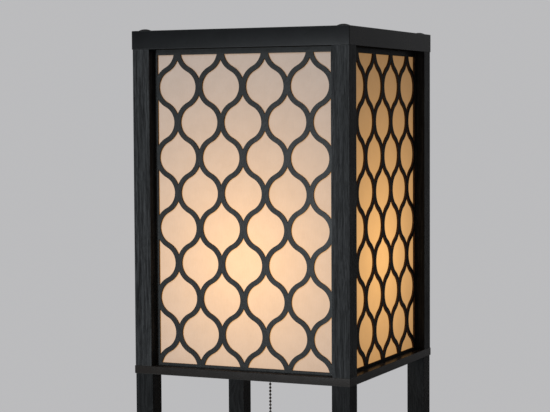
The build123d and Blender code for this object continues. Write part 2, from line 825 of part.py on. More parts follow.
save("bulb_glass", bulb_glass())
save("bulb_base", bulb_base())
save("bulb_tip", bulb_tip())
save("bulb_stem", bulb_stem())
save("bulb_filament", bulb_filament())

print("height", round(lamp_top + bolt_head_height, 2), "chain travel", round(chain_travel, 4))
print("pivot", pivot_x, round(pivot_z, 3), "bulb tip", round(bulb_tip_z, 3), "globe", round(globe_z, 3))
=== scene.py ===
"""Looks of the shelf floor lamp: the finish of every piece, smooth meshes for the turned, bent
and threaded ones, and the floor, lights and camera. Metres, +Z up, front towards -Y."""
from math import cos, pi, radians, sin

import bpy
import numpy as np
from mathutils import Matrix, Vector


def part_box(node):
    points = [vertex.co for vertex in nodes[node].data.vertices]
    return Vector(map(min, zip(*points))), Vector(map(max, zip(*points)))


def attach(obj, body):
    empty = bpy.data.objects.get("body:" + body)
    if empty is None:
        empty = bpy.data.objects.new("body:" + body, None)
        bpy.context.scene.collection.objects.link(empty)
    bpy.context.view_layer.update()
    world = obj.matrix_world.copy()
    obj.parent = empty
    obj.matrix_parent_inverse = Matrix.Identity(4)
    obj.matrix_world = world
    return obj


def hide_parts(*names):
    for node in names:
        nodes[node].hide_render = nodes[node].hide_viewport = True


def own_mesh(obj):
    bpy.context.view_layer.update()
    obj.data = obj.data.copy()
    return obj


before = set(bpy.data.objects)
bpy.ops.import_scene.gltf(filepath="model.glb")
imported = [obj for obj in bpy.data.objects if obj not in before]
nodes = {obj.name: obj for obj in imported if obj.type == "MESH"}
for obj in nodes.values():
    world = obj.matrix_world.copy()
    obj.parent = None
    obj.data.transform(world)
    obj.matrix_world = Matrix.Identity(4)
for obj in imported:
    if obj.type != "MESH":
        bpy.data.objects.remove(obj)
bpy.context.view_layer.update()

# ---------------------------------------------------------------- places read from the frame
post_low, post_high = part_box("upper_post_back_right")
shade_post_low, shade_post_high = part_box("shade_post_back_right")
top_rail_low, top_rail_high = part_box("top_rail_front")
base_rail_low, base_rail_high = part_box("base_rail_front")
sheet_low, sheet_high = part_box("diffuser_front")
glass_low, glass_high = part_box("bulb_glass")
base_low, base_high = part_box("bulb_base")
liner_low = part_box("screw_shell")[0]
chain_low, chain_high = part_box("pull_chain")
pendant_low, pendant_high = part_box("chain_pendant")
spring_low, spring_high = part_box("return_spring")

frame_half = base_rail_high.x
shade_foot = base_rail_high.z
globe_radius = glass_high.x
globe_centre = Vector((0.0, 0.0, glass_high.z - globe_radius))
chain_x = (chain_low.x + chain_high.x) / 2
sheet_reach = -sheet_low.y

# screw thread of the bulb's base and of its liner
thread_pitch = 0.003629
thread_ridge = 0.0006

# bead chain
bead_radius = 0.0015
bead_pitch = 0.00405
bead_count = 43
link_radius = 0.00045
stop_radius = 0.0022               # ball at the top, which hangs in the lever


# ---------------------------------------------------------------- camera
# where the photograph was taken from
camera_place = Vector((0.7883, -1.7815, shade_foot + 0.2822))
camera_yaw = radians(24.276)
camera_dip = radians(3.166)
camera_roll = radians(-0.306)
sensor_width, camera_lens = 36.0, 110.54          # mm
camera_nearest, camera_farthest = 0.05, 60.0


def set_camera():
    """Camera that looks along its yaw and dip, turned about its own axis by its roll."""
    level = Vector((cos(camera_yaw), sin(camera_yaw), 0.0))
    forward = Vector((-sin(camera_yaw) * cos(camera_dip), cos(camera_yaw) * cos(camera_dip),
                      -sin(camera_dip)))
    upright = level.cross(forward)
    right = cos(camera_roll) * level + sin(camera_roll) * upright
    up = -sin(camera_roll) * level + cos(camera_roll) * upright
    camera = bpy.data.objects.new("camera", bpy.data.cameras.new("camera"))
    camera.data.sensor_width = sensor_width
    camera.data.lens = camera_lens
    camera.data.clip_start, camera.data.clip_end = camera_nearest, camera_farthest
    turn = Matrix((right, up, -forward)).transposed().to_4x4()
    camera.matrix_world = Matrix.Translation(camera_place) @ turn
    bpy.context.scene.collection.objects.link(camera)
    bpy.context.scene.camera = camera


# ---------------------------------------------------------------- node trees
class Graph:
    """Adds nodes to one tree. Any input takes a socket, a number, a colour or a vector."""

    def __init__(self, tree):
        self.tree = tree

    def add(self, kind, inputs=(), **settings):
        node = self.tree.nodes.new(kind)
        for name, value in settings.items():
            setattr(node, name, value)
        for name, value in dict(inputs).items():
            self.feed(node.inputs[name], value)
        return node

    def feed(self, socket, value):
        if isinstance(value, bpy.types.NodeSocket):
            self.tree.links.new(value, socket)
        else:
            socket.default_value = value

    def math(self, operation, first, second=0.0, clamp=False):
        node = self.add("ShaderNodeMath", {0: first, 1: second},
                        operation=operation, use_clamp=clamp)
        return node.outputs[0]

    def vector(self, operation, first, second=(0.0, 0.0, 0.0), scale=1.0):
        node = self.add("ShaderNodeVectorMath", {0: first, 1: second}, operation=operation)
        if operation == "SCALE":
            self.feed(node.inputs["Scale"], scale)
        one_number = operation in ("LENGTH", "DISTANCE", "DOT_PRODUCT")
        return node.outputs["Value" if one_number else "Vector"]

    def split(self, vector):
        return self.add("ShaderNodeSeparateXYZ", {0: vector}).outputs

    def join(self, x, y, z):
        return self.add("ShaderNodeCombineXYZ", {0: x, 1: y, 2: z}).outputs[0]

    def noise(self, vector, scale, detail=2.0, roughness=0.5):
        """Noise of 0 to 1, about scale cells to the metre."""
        node = self.add("ShaderNodeTexNoise", {"Vector": vector, "Scale": scale, "Detail": detail,
                                               "Roughness": roughness})
        return node.outputs["Fac"]

    def spread(self, value, low, high, to_low=0.0, to_high=1.0, curve="SMOOTHSTEP"):
        """Carries low..high to to_low..to_high along a smooth step, or a straight line."""
        node = self.add("ShaderNodeMapRange",
                        {"Value": value, "From Min": low, "From Max": high,
                         "To Min": to_low, "To Max": to_high}, interpolation_type=curve)
        return node.outputs["Result"]

    def blend(self, share, first, second):
        """Colour that goes from first to second as share goes from 0 to 1."""
        node = self.add("ShaderNodeMix", data_type="RGBA")
        self.feed(node.inputs[0], share)
        self.feed(node.inputs[6], first)
        self.feed(node.inputs[7], second)
        return node.outputs[2]

    def group(self, tree, **inputs):
        """Outputs of a node group; input names have spaces where the call has underscores."""
        node = self.add("ShaderNodeGroup", node_tree=tree)
        for name, value in inputs.items():
            self.feed(node.inputs[name.replace("_", " ")], value)
        return node.outputs


def new_group(name, inputs, outputs):
    """Empty node group with its sockets; returns its tree, a Graph, what its input node puts out
    and what its output node takes."""
    tree = bpy.data.node_groups.new(name, "ShaderNodeTree")
    for socket, kind in inputs.items():
        tree.interface.new_socket(socket, in_out="INPUT", socket_type=kind)
    for socket, kind in outputs.items():
        tree.interface.new_socket(socket, in_out="OUTPUT", socket_type=kind)
    g = Graph(tree)
    return tree, g, g.add("NodeGroupInput").outputs, g.add("NodeGroupOutput").inputs


FLOAT, VECTOR = "NodeSocketFloat", "NodeSocketVector"


def grain_group():
    """Printed wood grain that runs along Z: soft streaks and short dark pores drawn out along it,
    both swaying a little, and arches where rings at the distance sqrt(across^2 + depth^2) from the
    heart are cut lengthwise, the depth wandering along Z. The print is fainter in places. Tone is 0
    in the dark wood and 1 in the pale; Relief is the height of the wood between the pores."""
    sway, edge_sway, contrast, pore_tone = 0.0045, 1.1, 3.3, 0.42
    streak_stretch, pore_stretch = (1.0, 1.0, 0.030), (1.0, 1.0, 0.045)
    nearest_cut, farthest_cut = 0.002, 0.034
    tree, g, given, out = new_group(
        "wood grain", {"Place": VECTOR, "Across": FLOAT, "Ring": FLOAT, "Arches": FLOAT},
        {"Tone": FLOAT, "Relief": FLOAT})
    place, across = given["Place"], given["Across"]
    along = g.split(place)["Z"]
    bend = g.math("MULTIPLY", g.math("SUBTRACT", g.noise(place, 17.0), 0.5), sway)
    swayed = g.vector("ADD", place, g.join(bend, bend, 0.0))
    streaks = g.noise(g.vector("MULTIPLY", swayed, streak_stretch), 520.0, 4.0, 0.65)
    pores = g.noise(g.vector("MULTIPLY", swayed, pore_stretch), 1300.0, 2.0, 0.6)

    depth = g.spread(g.noise(g.join(across, 0.0, along), 6.0), 0.3, 0.7, nearest_cut, farthest_cut)
    off = g.math("ADD", across, bend)
    squares = g.math("ADD", g.math("MULTIPLY", off, off), g.math("MULTIPLY", depth, depth))
    rings_out = g.math("DIVIDE", g.math("SQRT", squares), given["Ring"])
    rough_edge = g.math("MULTIPLY", g.math("SUBTRACT", streaks, 0.5), edge_sway)
    turns = g.math("FRACT", g.math("ADD", rings_out, rough_edge))
    rings = g.math("SUBTRACT", g.spread(turns, 0.0, 1.0), 0.5)
    rings = g.math("MULTIPLY", rings, given["Arches"])

    fresh = g.spread(g.noise(place, 5.0), 0.35, 0.65, 0.45, 1.0)
    print_tone = g.math("MULTIPLY", g.math("SUBTRACT", streaks, 0.5), contrast)
    print_tone = g.math("MULTIPLY", g.math("ADD", print_tone, rings), fresh)
    tone = g.math("ADD", print_tone, 0.5, clamp=True)
    cut = g.spread(pores, 0.38, 0.50)
    g.feed(out["Tone"], g.math("MULTIPLY", tone, g.spread(cut, 0.0, 1.0, pore_tone, 1.0)))
    g.feed(out["Relief"], g.math("ADD", g.math("MULTIPLY", cut, 0.7),
                                 g.math("MULTIPLY", streaks, 0.3)))
    return tree


def edge_group():
    """Rubbed edges of a box between two corners: where at least two of its faces are nearer than
    the width, broken up by noise. 1 on a rubbed edge, 0 elsewhere."""
    tree, g, given, out = new_group(
        "rubbed edge", {"Place": VECTOR, "Low": VECTOR, "High": VECTOR, "Width": FLOAT},
        {"Mask": FLOAT})
    place = given["Place"]
    inside = g.vector("MINIMUM", g.vector("SUBTRACT", place, given["Low"]),
                      g.vector("SUBTRACT", given["High"], place))
    x, y, z = g.split(inside)
    least = g.math("MINIMUM", x, g.math("MINIMUM", y, z))
    most = g.math("MAXIMUM", x, g.math("MAXIMUM", y, z))
    total = g.math("ADD", x, g.math("ADD", y, z))
    second = g.math("SUBTRACT", g.math("SUBTRACT", total, least), most)
    near = g.math("SUBTRACT", 1.0, g.math("DIVIDE", second, given["Width"]), clamp=True)
    patches = g.spread(g.noise(place, 240.0, 4.0, 0.65), 0.42, 0.62)
    g.feed(out["Mask"], g.math("MULTIPLY", near, patches))
    return tree


def handling_group():
    """Uneven sheen from handling and cleaning: broad soft patches with finer smears over them,
    carried to a range of roughness."""
    tree, g, given, out = new_group(
        "handling", {"Place": VECTOR, "Smooth": FLOAT, "Rough": FLOAT}, {"Roughness": FLOAT})
    place, smear_stretch = given["Place"], (1.0, 1.0, 0.4)
    broad = g.noise(place, 18.0, 3.0)
    smears = g.noise(g.vector("MULTIPLY", place, smear_stretch), 160.0, 3.0, 0.6)
    value = g.math("ADD", g.math("MULTIPLY", broad, 0.65), g.math("MULTIPLY", smears, 0.35))
    g.feed(out["Roughness"], g.spread(value, 0.3, 0.7, given["Smooth"], given["Rough"], "LINEAR"))
    return tree


def dust_group():
    """Thin settled dust: on faces that look up, in soft patches with specks."""
    tree, g, given, out = new_group(
        "settled dust", {"Place": VECTOR, "Facing": VECTOR, "Amount": FLOAT}, {"Mask": FLOAT})
    up = g.spread(g.split(given["Facing"])["Z"], 0.6, 0.98)
    patches = g.spread(g.noise(given["Place"], 30.0, 4.0, 0.6), 0.3, 0.75)
    specks = g.spread(g.noise(given["Place"], 1400.0, 1.0), 0.62, 0.72, 0.0, 0.6)
    amount = g.math("MULTIPLY", g.math("ADD", patches, specks), given["Amount"])
    g.feed(out["Mask"], g.math("MULTIPLY", up, amount, clamp=True))
    return tree


def glow_group():
    """How bright the lamp is at a place: (near / distance from the bulb) ^ 1.5, so 1 at the near
    distance."""
    tree, g, given, out = new_group(
        "lamp glow", {"Place": VECTOR, "Bulb": VECTOR, "Near": FLOAT}, {"Share": FLOAT})
    far = g.vector("DISTANCE", given["Place"], given["Bulb"])
    g.feed(out["Share"], g.math("POWER", g.math("DIVIDE", given["Near"], far), 1.5))
    return tree


grain, rubbed_edge, handling = grain_group(), edge_group(), handling_group()
settled_dust, lamp_glow = dust_group(), glow_group()


def start_material(name, **plain):
    """Material with a Principled shader. Plain values are set on its own sockets, whose names have
    spaces where the call has underscores. Returns the material, a Graph, the shader's inputs, the
    place on the object and the way the surface faces."""
    material = bpy.data.materials.new(name)
    material.use_nodes = True
    material.node_tree.nodes.clear()
    g = Graph(material.node_tree)
    shader = g.add("ShaderNodeBsdfPrincipled",
                   {key.replace("_", " "): value for key, value in plain.items()})
    g.add("ShaderNodeOutputMaterial", {"Surface": shader.outputs[0]})
    coordinates = g.add("ShaderNodeTexCoord").outputs
    return material, g, shader.inputs, coordinates["Object"], coordinates["Normal"]


def bump(g, height, distance, strength=1.0):
    """Normal from a height of 0 to 1 that stands for the distance in metres."""
    node = g.add("ShaderNodeBump", {"Height": height, "Distance": distance, "Strength": strength})
    return node.outputs[0]


def cloud_of(g, place, scale, detail=4.0, roughness=0.6):
    """Cloudy share of 0 to 1."""
    return g.spread(g.noise(place, scale, detail, roughness), 0.3, 0.7)


# ---------------------------------------------------------------- finishes of the black wood
foil_dark, foil_pale = (0.0055, 0.0057, 0.0060, 1), (0.0375, 0.0388, 0.0400, 1)
tier_pale = (0.0120, 0.0125, 0.0129, 1)
top_dark, top_pale = (0.0026, 0.0028, 0.0032, 1), (0.0040, 0.0044, 0.0049, 1)
base_dark, base_pale = (0.0085, 0.0066, 0.0056, 1), (0.0132, 0.0105, 0.0090, 1)
mitre_black = (0.001, 0.001, 0.001, 1)
paint_black = (0.011, 0.012, 0.012, 1)
thin_paint_dark, thin_paint_pale = (0.016, 0.0167, 0.0174, 1), (0.022, 0.0228, 0.0236, 1)
scorch_dark, scorch_pale = (0.050, 0.028, 0.016, 1), (0.120, 0.070, 0.040, 1)
dust_colour = (0.22, 0.21, 0.20, 1)
rub_colour = (0.075, 0.076, 0.076, 1)


def grained_foil(name, low, high, heart, grain_axis="Z", arches=0.5, pale=foil_pale):
    """Black wood-grain foil on a post or a board that fills low..high once folded over X and Y.
    heart is where the rings centre; the grain runs along grain_axis."""
    ring, edge_width, grain_depth = 0.0042, 0.0009, 0.00012
    material, g, shader, place, facing = start_material(name, Specular_IOR_Level=0.03)
    folded = g.vector("ABSOLUTE", place)
    if grain_axis == "Z":
        x, y, z = g.split(folded)
        turned_place = place
        across = g.math("SUBTRACT", g.math("ADD", x, y), 2 * heart)
    else:
        x, y, z = g.split(place)
        turned_place = g.join(z, y, x)
        across = g.math("SUBTRACT", y, heart)
    tone = g.group(grain, Place=turned_place, Across=across, Ring=ring, Arches=arches)
    rub = g.group(rubbed_edge, Place=folded, Low=tuple(low), High=tuple(high),
                  Width=edge_width)["Mask"]
    dust = g.group(settled_dust, Place=place, Facing=facing, Amount=0.05)["Mask"]
    colour = g.blend(tone["Tone"], foil_dark, pale)
    colour = g.blend(g.math("MULTIPLY", rub, 0.3), colour, rub_colour)
    g.feed(shader["Base Color"], g.blend(dust, colour, dust_colour))
    sheen = g.group(handling, Place=place, Smooth=0.42, Rough=0.58)["Roughness"]
    dull = g.math("MULTIPLY", dust, 0.3)
    g.feed(shader["Roughness"], g.math("ADD", sheen, dull, clamp=True))
    g.feed(shader["Normal"], bump(g, tone["Relief"], grain_depth, 0.8))
    return material


def satin_band(name, low, high, dark, pale, crown):
    """Smooth satin black of the mitred rails: an even coat with a faint pull of the roller on a
    face that stands out by its crown in the middle, a hairline at the mitres, where x and y are
    alike, a rubbed outer edge, dust on top and a matt underside. The four rails are folded onto
    one."""
    far_end, edge_width, peel_depth = 1.0, 0.0010, 0.00002
    hairline, hairline_edge, hairline_depth = 0.00012, 0.00045, 4.0
    material, g, shader, place, facing = start_material(name, Specular_IOR_Level=0.032)
    x, y, z = g.split(g.vector("ABSOLUTE", place))
    one_rail = g.join(0.0, g.math("MAXIMUM", x, y), z)
    rub = g.group(rubbed_edge, Place=one_rail, Low=(-far_end, low.y, low.z),
                  High=(far_end, high.y, high.z), Width=edge_width)["Mask"]
    dust = g.group(settled_dust, Place=place, Facing=facing, Amount=0.08)["Mask"]
    mitre = g.spread(g.math("ABSOLUTE", g.math("SUBTRACT", x, y)), hairline, hairline_edge)
    colour = g.blend(cloud_of(g, place, 45.0, roughness=0.55), dark, pale)
    colour = g.blend(mitre, mitre_black, colour)
    colour = g.blend(g.math("MULTIPLY", rub, 0.5), colour, rub_colour)
    g.feed(shader["Base Color"], g.blend(dust, colour, dust_colour))

    sheen = g.group(handling, Place=place, Smooth=0.25, Rough=0.31)["Roughness"]
    worn = g.math("ADD", sheen, g.math("MULTIPLY", dust, 0.35))
    under = g.spread(g.split(facing)["Z"], -0.9, -0.5, 0.7, 0.0)
    g.feed(shader["Roughness"], g.math("ADD", worn, under, clamp=True))

    peel = g.math("ADD", g.noise(place, 900.0), g.noise(place, 2600.0, 1.0))
    middle, half = (low.z + high.z) / 2, (high.z - low.z) / 2
    up_rail = g.math("DIVIDE", g.math("SUBTRACT", z, middle), half)
    swell = g.math("MULTIPLY", g.math("MULTIPLY", up_rail, up_rail), -crown / peel_depth)
    groove = g.math("MULTIPLY", mitre, hairline_depth)
    height = g.math("ADD", g.math("ADD", swell, peel), groove)
    g.feed(shader["Normal"], bump(g, height, peel_depth))
    return material


def cut_lattice(name, along, level):
    """Lattice board: a face painted black, cloudy where the coat lies thin over the fibres, and
    brown scorched cut edges. along is the way the board's face looks."""
    material, g, shader, place, facing = start_material(name, Specular_IOR_Level=level)
    square_on = g.math("ABSOLUTE", g.vector("DOT_PRODUCT", facing, along))
    face = g.spread(square_on, 0.5, 0.9)
    mottle = cloud_of(g, place, 120.0)
    fibre = g.noise(g.vector("MULTIPLY", place, (1.0, 1.0, 0.2)), 1300.0)
    thin = g.math("MULTIPLY", g.spread(fibre, 0.3, 0.5), 0.35)
    paint = g.blend(thin, paint_black, g.blend(mottle, thin_paint_dark, thin_paint_pale))
    scorch = g.blend(g.spread(fibre, 0.35, 0.65), scorch_dark, scorch_pale)
    g.feed(shader["Base Color"], g.blend(face, scorch, paint))
    sheen = g.group(handling, Place=place, Smooth=0.26, Rough=0.33)["Roughness"]
    raw_edge = g.math("MULTIPLY", g.math("SUBTRACT", 1.0, face), 0.45)
    g.feed(shader["Roughness"], g.math("ADD", raw_edge, sheen, clamp=True))
    g.feed(shader["Normal"], bump(g, g.math("ADD", fibre, mottle), 0.00005))
    return material


def plain_black(name, dark, pale, smooth, rough, scale, level=0.35):
    """Matt or half-matt black: a cloudy pair of colours, uneven sheen, a fine skin and dust."""
    material, g, shader, place, facing = start_material(name, Specular_IOR_Level=level)
    dust = g.group(settled_dust, Place=place, Facing=facing, Amount=0.06)["Mask"]
    colour = g.blend(cloud_of(g, place, scale), dark, pale)
    g.feed(shader["Base Color"], g.blend(dust, colour, dust_colour))
    sheen = g.group(handling, Place=place, Smooth=smooth, Rough=rough)["Roughness"]
    g.feed(shader["Roughness"], sheen)
    g.feed(shader["Normal"], bump(g, g.noise(place, scale * 12), 0.00003))
    return material


# ---------------------------------------------------------------- paper and bulb
paper_light = (0.865, 0.448, 0.138)
paper_thin, paper_thick = (0.177, 0.202, 0.226, 1), (0.189, 0.215, 0.240, 1)
glass_light, glass_white = (0.95, 0.70, 0.42), (0.85, 0.82, 0.76, 1)
filament_up = 0.008                # filament above the globe's centre


def lit_paper(name):
    """Translucent paper, lit from behind: warm light that falls off from the bulb, a cloudy
    formation, long fibres, the glow painted dark at the ends as shade where the rails hold the
    sheet, and a plain cool colour where room light falls on it."""
    held, shaded, cloud_depth, fibre_depth = 0.0008, 0.0020, 0.018, 0.03
    spot_power, spot_share = 8.0, 0.10
    material, g, shader, place, _ = start_material(name, Roughness=0.85, Specular_IOR_Level=0.2,
                                                   Emission_Strength=1.0)
    near = g.group(lamp_glow, Place=place, Bulb=tuple(globe_centre), Near=sheet_reach)["Share"]
    spot = g.math("MULTIPLY", g.math("POWER", near, spot_power), spot_share)
    thin, thick = 1 - cloud_depth, 1 + cloud_depth
    cloud = g.spread(g.noise(place, 70.0, 5.0, 0.6), 0.25, 0.75, thin, thick)
    fibres = g.noise(g.vector("MULTIPLY", place, (1.0, 1.0, 0.12)), 900.0, 3.0, 0.7)
    fibres = g.spread(fibres, 0.3, 0.7, 1 - fibre_depth, 1 + fibre_depth)
    up = g.split(place)["Z"]
    # painted shade: the glow fades to dark over the last millimetres at each end of the sheet,
    # where the rails hold it
    clear_of_foot_shade = g.spread(up, sheet_low.z + held, sheet_low.z + shaded)
    clear_of_top_shade = g.spread(up, sheet_high.z - shaded, sheet_high.z - held, 1.0, 0.0)
    strength = g.math("MULTIPLY", g.math("ADD", near, spot), g.math("MULTIPLY", cloud, fibres))
    strength = g.math("MULTIPLY", strength, g.math("MULTIPLY", clear_of_foot_shade, clear_of_top_shade))
    g.feed(shader["Emission Color"], g.vector("SCALE", paper_light, scale=strength))
    g.feed(shader["Base Color"], g.blend(g.spread(cloud, thin, thick), paper_thin, paper_thick))
    g.feed(shader["Normal"], bump(g, fibres, 0.00004))
    return material


def lit_glass(name):
    """Frosted glass with the lamp on: brightest at the crown, nearest to the filament, and dimmer
    down the neck, with the faint grain of the etched inside."""
    material, g, shader, place, _ = start_material(name, Roughness=0.35, Emission_Strength=1.3,
                                                   Base_Color=glass_white)
    filament = globe_centre + Vector((0.0, 0.0, filament_up))
    near = g.group(lamp_glow, Place=place, Bulb=tuple(filament), Near=globe_radius)["Share"]
    frost = g.spread(g.noise(place, 1600.0), 0.3, 0.7, 0.94, 1.0)
    strength = g.math("MULTIPLY", near, frost)
    g.feed(shader["Emission Color"], g.vector("SCALE", glass_light, scale=strength))
    g.feed(shader["Normal"], bump(g, frost, 0.00002))
    return material


# ---------------------------------------------------------------- metals, clear glass and beech
def plain_metal(name, bright, dull, smooth, rough, lines=(1.0, 1.0, 1.0)):
    """Metal with a cloudy tarnish between two colours and fine tool lines; lines stretches them."""
    material, g, shader, place, _ = start_material(name, Metallic=1.0)
    tarnish = g.spread(g.noise(place, 110.0, 4.0, 0.65), 0.35, 0.75)
    marks = g.noise(g.vector("MULTIPLY", place, lines), 900.0, 3.0, 0.6)
    g.feed(shader["Base Color"], g.blend(tarnish, bright, dull))
    worn = g.group(handling, Place=place, Smooth=smooth, Rough=rough)["Roughness"]
    scored = g.math("MULTIPLY", g.math("SUBTRACT", marks, 0.5), 0.2)
    g.feed(shader["Roughness"], g.math("ADD", worn, scored, clamp=True))
    g.feed(shader["Normal"], bump(g, marks, 0.00002))
    return material


def clear_glass(name):
    """Clear glass of the bulb's stem, with faint drawn lines."""
    material, g, shader, place, _ = start_material(name, Transmission_Weight=1.0, IOR=1.5,
                                                   Base_Color=(0.95, 0.97, 0.96, 1))
    drawn = g.noise(g.vector("MULTIPLY", place, (1.0, 1.0, 0.1)), 600.0)
    g.feed(shader["Roughness"], g.spread(drawn, 0.3, 0.7, 0.03, 0.12))
    g.feed(shader["Normal"], bump(g, drawn, 0.00003))
    return material


def beech(name):
    """Plain beech: pale pink-brown with short flecks along the grain."""
    dark, pale = (0.42, 0.27, 0.15, 1), (0.62, 0.44, 0.27, 1)
    material, g, shader, place, _ = start_material(name, Specular_IOR_Level=0.04)
    flecks = g.vector("MULTIPLY", place, (1.0, 0.1, 1.0))
    g.feed(shader["Base Color"], g.blend(cloud_of(g, flecks, 1200.0, 3.0), dark, pale))
    sheen = g.group(handling, Place=place, Smooth=0.55, Rough=0.7)["Roughness"]
    g.feed(shader["Roughness"], sheen)
    return material


# ---------------------------------------------------------------- meshes worked out as grids
def grid_faces(index):
    """Faces between neighbouring rows and columns of a grid of vertex numbers. Where a row has
    shrunk to one point, its quads are triangles."""
    quads = np.stack([index[:-1, :-1], index[:-1, 1:], index[1:, 1:], index[1:, :-1]], -1)
    quads = quads.reshape(-1, 4)
    point_below, point_above = quads[:, 0] == quads[:, 1], quads[:, 2] == quads[:, 3]
    return (quads[~point_below & ~point_above].tolist() + quads[point_below][:, [0, 2, 3]].tolist()
            + quads[point_above][:, [0, 1, 2]].tolist())


def grid_piece(name, points, material, body, node, close_rows=False):
    """A piece from points in rows and columns, closed round its columns, and round its rows if
    asked. A first or last row of zero radius becomes one point."""
    rows, columns = points.shape[:2]
    index = np.arange(rows * columns).reshape(rows, columns)
    if not close_rows:
        for row in (0, -1):
            if np.ptp(points[row], axis=0).max() < 1e-9:
                index[row] = index[row, 0]
    index = np.concatenate([index, index[:, :1]], axis=1)
    if close_rows:
        index = np.concatenate([index, index[:1]], axis=0)
    used, renumbered = np.unique(index, return_inverse=True)
    mesh = bpy.data.meshes.new(name)
    mesh.from_pydata(points.reshape(-1, 3)[used].tolist(), [],
                     grid_faces(renumbered.reshape(index.shape)))
    mesh.shade_smooth()
    mesh.materials.append(material)
    piece = bpy.data.objects.new(name, mesh)
    bpy.context.scene.collection.objects.link(piece)
    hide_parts(node)
    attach(piece, body)
    return piece


def turned(profile, columns, x=0.0):
    """Points of a profile of (radius, height) rows turned about the upright line at x."""
    angle = np.arange(columns) * 2 * pi / columns
    radius, height = np.asarray(profile, float).T
    return np.stack([x + radius[:, None] * np.cos(angle), radius[:, None] * np.sin(angle),
                     np.repeat(height[:, None], columns, 1)], -1)


def arc(radius, height, start, end, count):
    """Profile points on a circle about (0, height), from one angle above level to another."""
    angle = np.radians(np.linspace(start, end, count))
    return np.stack([radius * np.cos(angle), height + radius * np.sin(angle)], -1)


def eased(start, end, start_way, end_way, count):
    """Cubic curve from start to end that leaves and arrives along the given ways, whose lengths
    are those of the chord."""
    start, end, start_way, end_way = (np.asarray(v, float)
                                      for v in (start, end, start_way, end_way))
    t = np.linspace(0.0, 1.0, count)[:, None]
    chord = np.linalg.norm(end - start)
    return ((2 * t**3 - 3 * t**2 + 1) * start + (t**3 - 2 * t**2 + t) * chord * start_way
            + (3 * t**2 - 2 * t**3) * end + (t**3 - t**2) * chord * end_way)


def threaded(radius, foot, length, rows, columns):
    """Rows of a screw thread: radius + ridge * (1 - cos(2 pi z / pitch - angle)) / 2, faded in
    and out over the first and last half pitch."""
    angle = np.arange(columns) * 2 * pi / columns
    height = np.linspace(0.0, length, rows)[:, None]
    fade = np.clip(np.minimum(height, length - height) / (thread_pitch / 2), 0.0, 1.0)
    wave = (1 - np.cos(2 * pi * height / thread_pitch - angle)) / 2
    around = radius + thread_ridge * fade * wave
    return np.stack([around * np.cos(angle), around * np.sin(angle), foot + height + 0 * angle], -1)


def coiled(centre, coil, wire, foot, top, turns, rows, columns):
    """A round wire carried along a helix; each section lies square to the helix."""
    turn = np.linspace(0.0, 2 * pi * turns, rows)
    rise = (top - foot) / (2 * pi * turns)
    out = np.stack([np.cos(turn), np.sin(turn), 0 * turn], -1)
    forward = np.stack([-coil * np.sin(turn), coil * np.cos(turn), rise + 0 * turn], -1)
    forward /= np.linalg.norm(forward, axis=1, keepdims=True)
    side = np.cross(forward, out)
    line = np.array([centre.x, centre.y, foot]) + coil * out + np.outer(rise * turn, [0, 0, 1])
    angle = np.arange(columns) * 2 * pi / columns
    ring = (np.cos(angle)[None, :, None] * out[:, None]
            - np.sin(angle)[None, :, None] * side[:, None])
    body = line[:, None] + wire * ring
    ends = [np.repeat(line[row][None, None], columns, 1) for row in (0, -1)]
    return np.concatenate([ends[0], body, ends[1]])


def bulb_globe(material):
    """Pear shape: a straight neck that eases into the globe at 35 degrees below level."""
    neck_radius, neck_edge, meet = 0.0126, 0.0004, -35.0
    neck = (neck_radius, glass_low.z)
    way = radians(meet)
    joint = (globe_radius * cos(way), globe_centre.z + globe_radius * sin(way))
    throat = eased(neck, joint, (0, 1), (-sin(way), cos(way)), count=18)
    crown = arc(globe_radius, globe_centre.z, meet, 90.0, count=30)
    crown[-1, 0] = 0.0
    foot = [(0.0, glass_low.z), (neck_radius - neck_edge, glass_low.z)]
    profile = np.concatenate([foot, throat, crown[1:]])
    grid_piece("frosted_globe", turned(profile, columns=64), material, "bulb",
               "bulb_glass")


def bulb_screw(material):
    """Screw base: a rolled thread, then a collar that steps out round the neck."""
    root, foot_radius, thread_length = 0.0124, 0.0118, 0.0146
    rows, columns = 44, 48
    collar_drops = ((0.0128, 0.0052), (0.0134, 0.0047), (0.01348, 0.0035), (0.01348, 0.0008),
                    (0.0131, 0.0001), (0.0127, 0.0), (0.0, 0.0))       # radius, down from the top
    foot = turned([(0.0, base_low.z), (foot_radius, base_low.z)], columns)
    thread = threaded(root, base_low.z, thread_length, rows, columns)
    collar = turned([(radius, base_high.z - drop) for radius, drop in collar_drops], columns)
    grid_piece("screw_base", np.concatenate([foot, thread, collar]), material,
               "bulb", "bulb_base")


def socket_liner(material):
    """Threaded liner: a thin wall with the same thread inside and out, and a flange below."""
    outer_root, inner_root, flange_radius = 0.0138, 0.0133, 0.0152
    sheet, flange_to_thread, thread_length = 0.0005, 0.003, 0.0182
    rows, columns = 52, 48
    flange = turned([(inner_root, liner_low.z), (flange_radius, liner_low.z),
                     (flange_radius, liner_low.z + sheet), (outer_root, liner_low.z + sheet)],
                    columns)
    foot = liner_low.z + flange_to_thread
    outer = threaded(outer_root, foot, thread_length, rows, columns)
    inner = threaded(inner_root, foot, thread_length, rows, columns)[::-1]
    grid_piece("threaded_liner", np.concatenate([flange, outer, inner]), material,
               "frame", "screw_shell", close_rows=True)


def bead_chain(material):
    """One profile up the chain: balls cut off where they meet the wire of the links between."""
    cut = np.degrees(np.arccos(link_radius / bead_radius))
    lowest = chain_low.z + bead_radius
    first = arc(bead_radius, lowest, -90.0, cut, count=10)
    first[0, 0] = 0.0
    beads = [arc(bead_radius, lowest + number * bead_pitch, -cut, cut, count=9)
             for number in range(1, bead_count)]
    stop_cut = np.degrees(np.arccos(link_radius / stop_radius))
    stop = arc(stop_radius, chain_high.z - stop_radius, -stop_cut, 90.0, count=12)
    stop[-1, 0] = 0.0
    profile = np.concatenate([first, *beads, stop])
    grid_piece("bead_chain", turned(profile, columns=14, x=chain_x), material,
               "pull", "pull_chain")


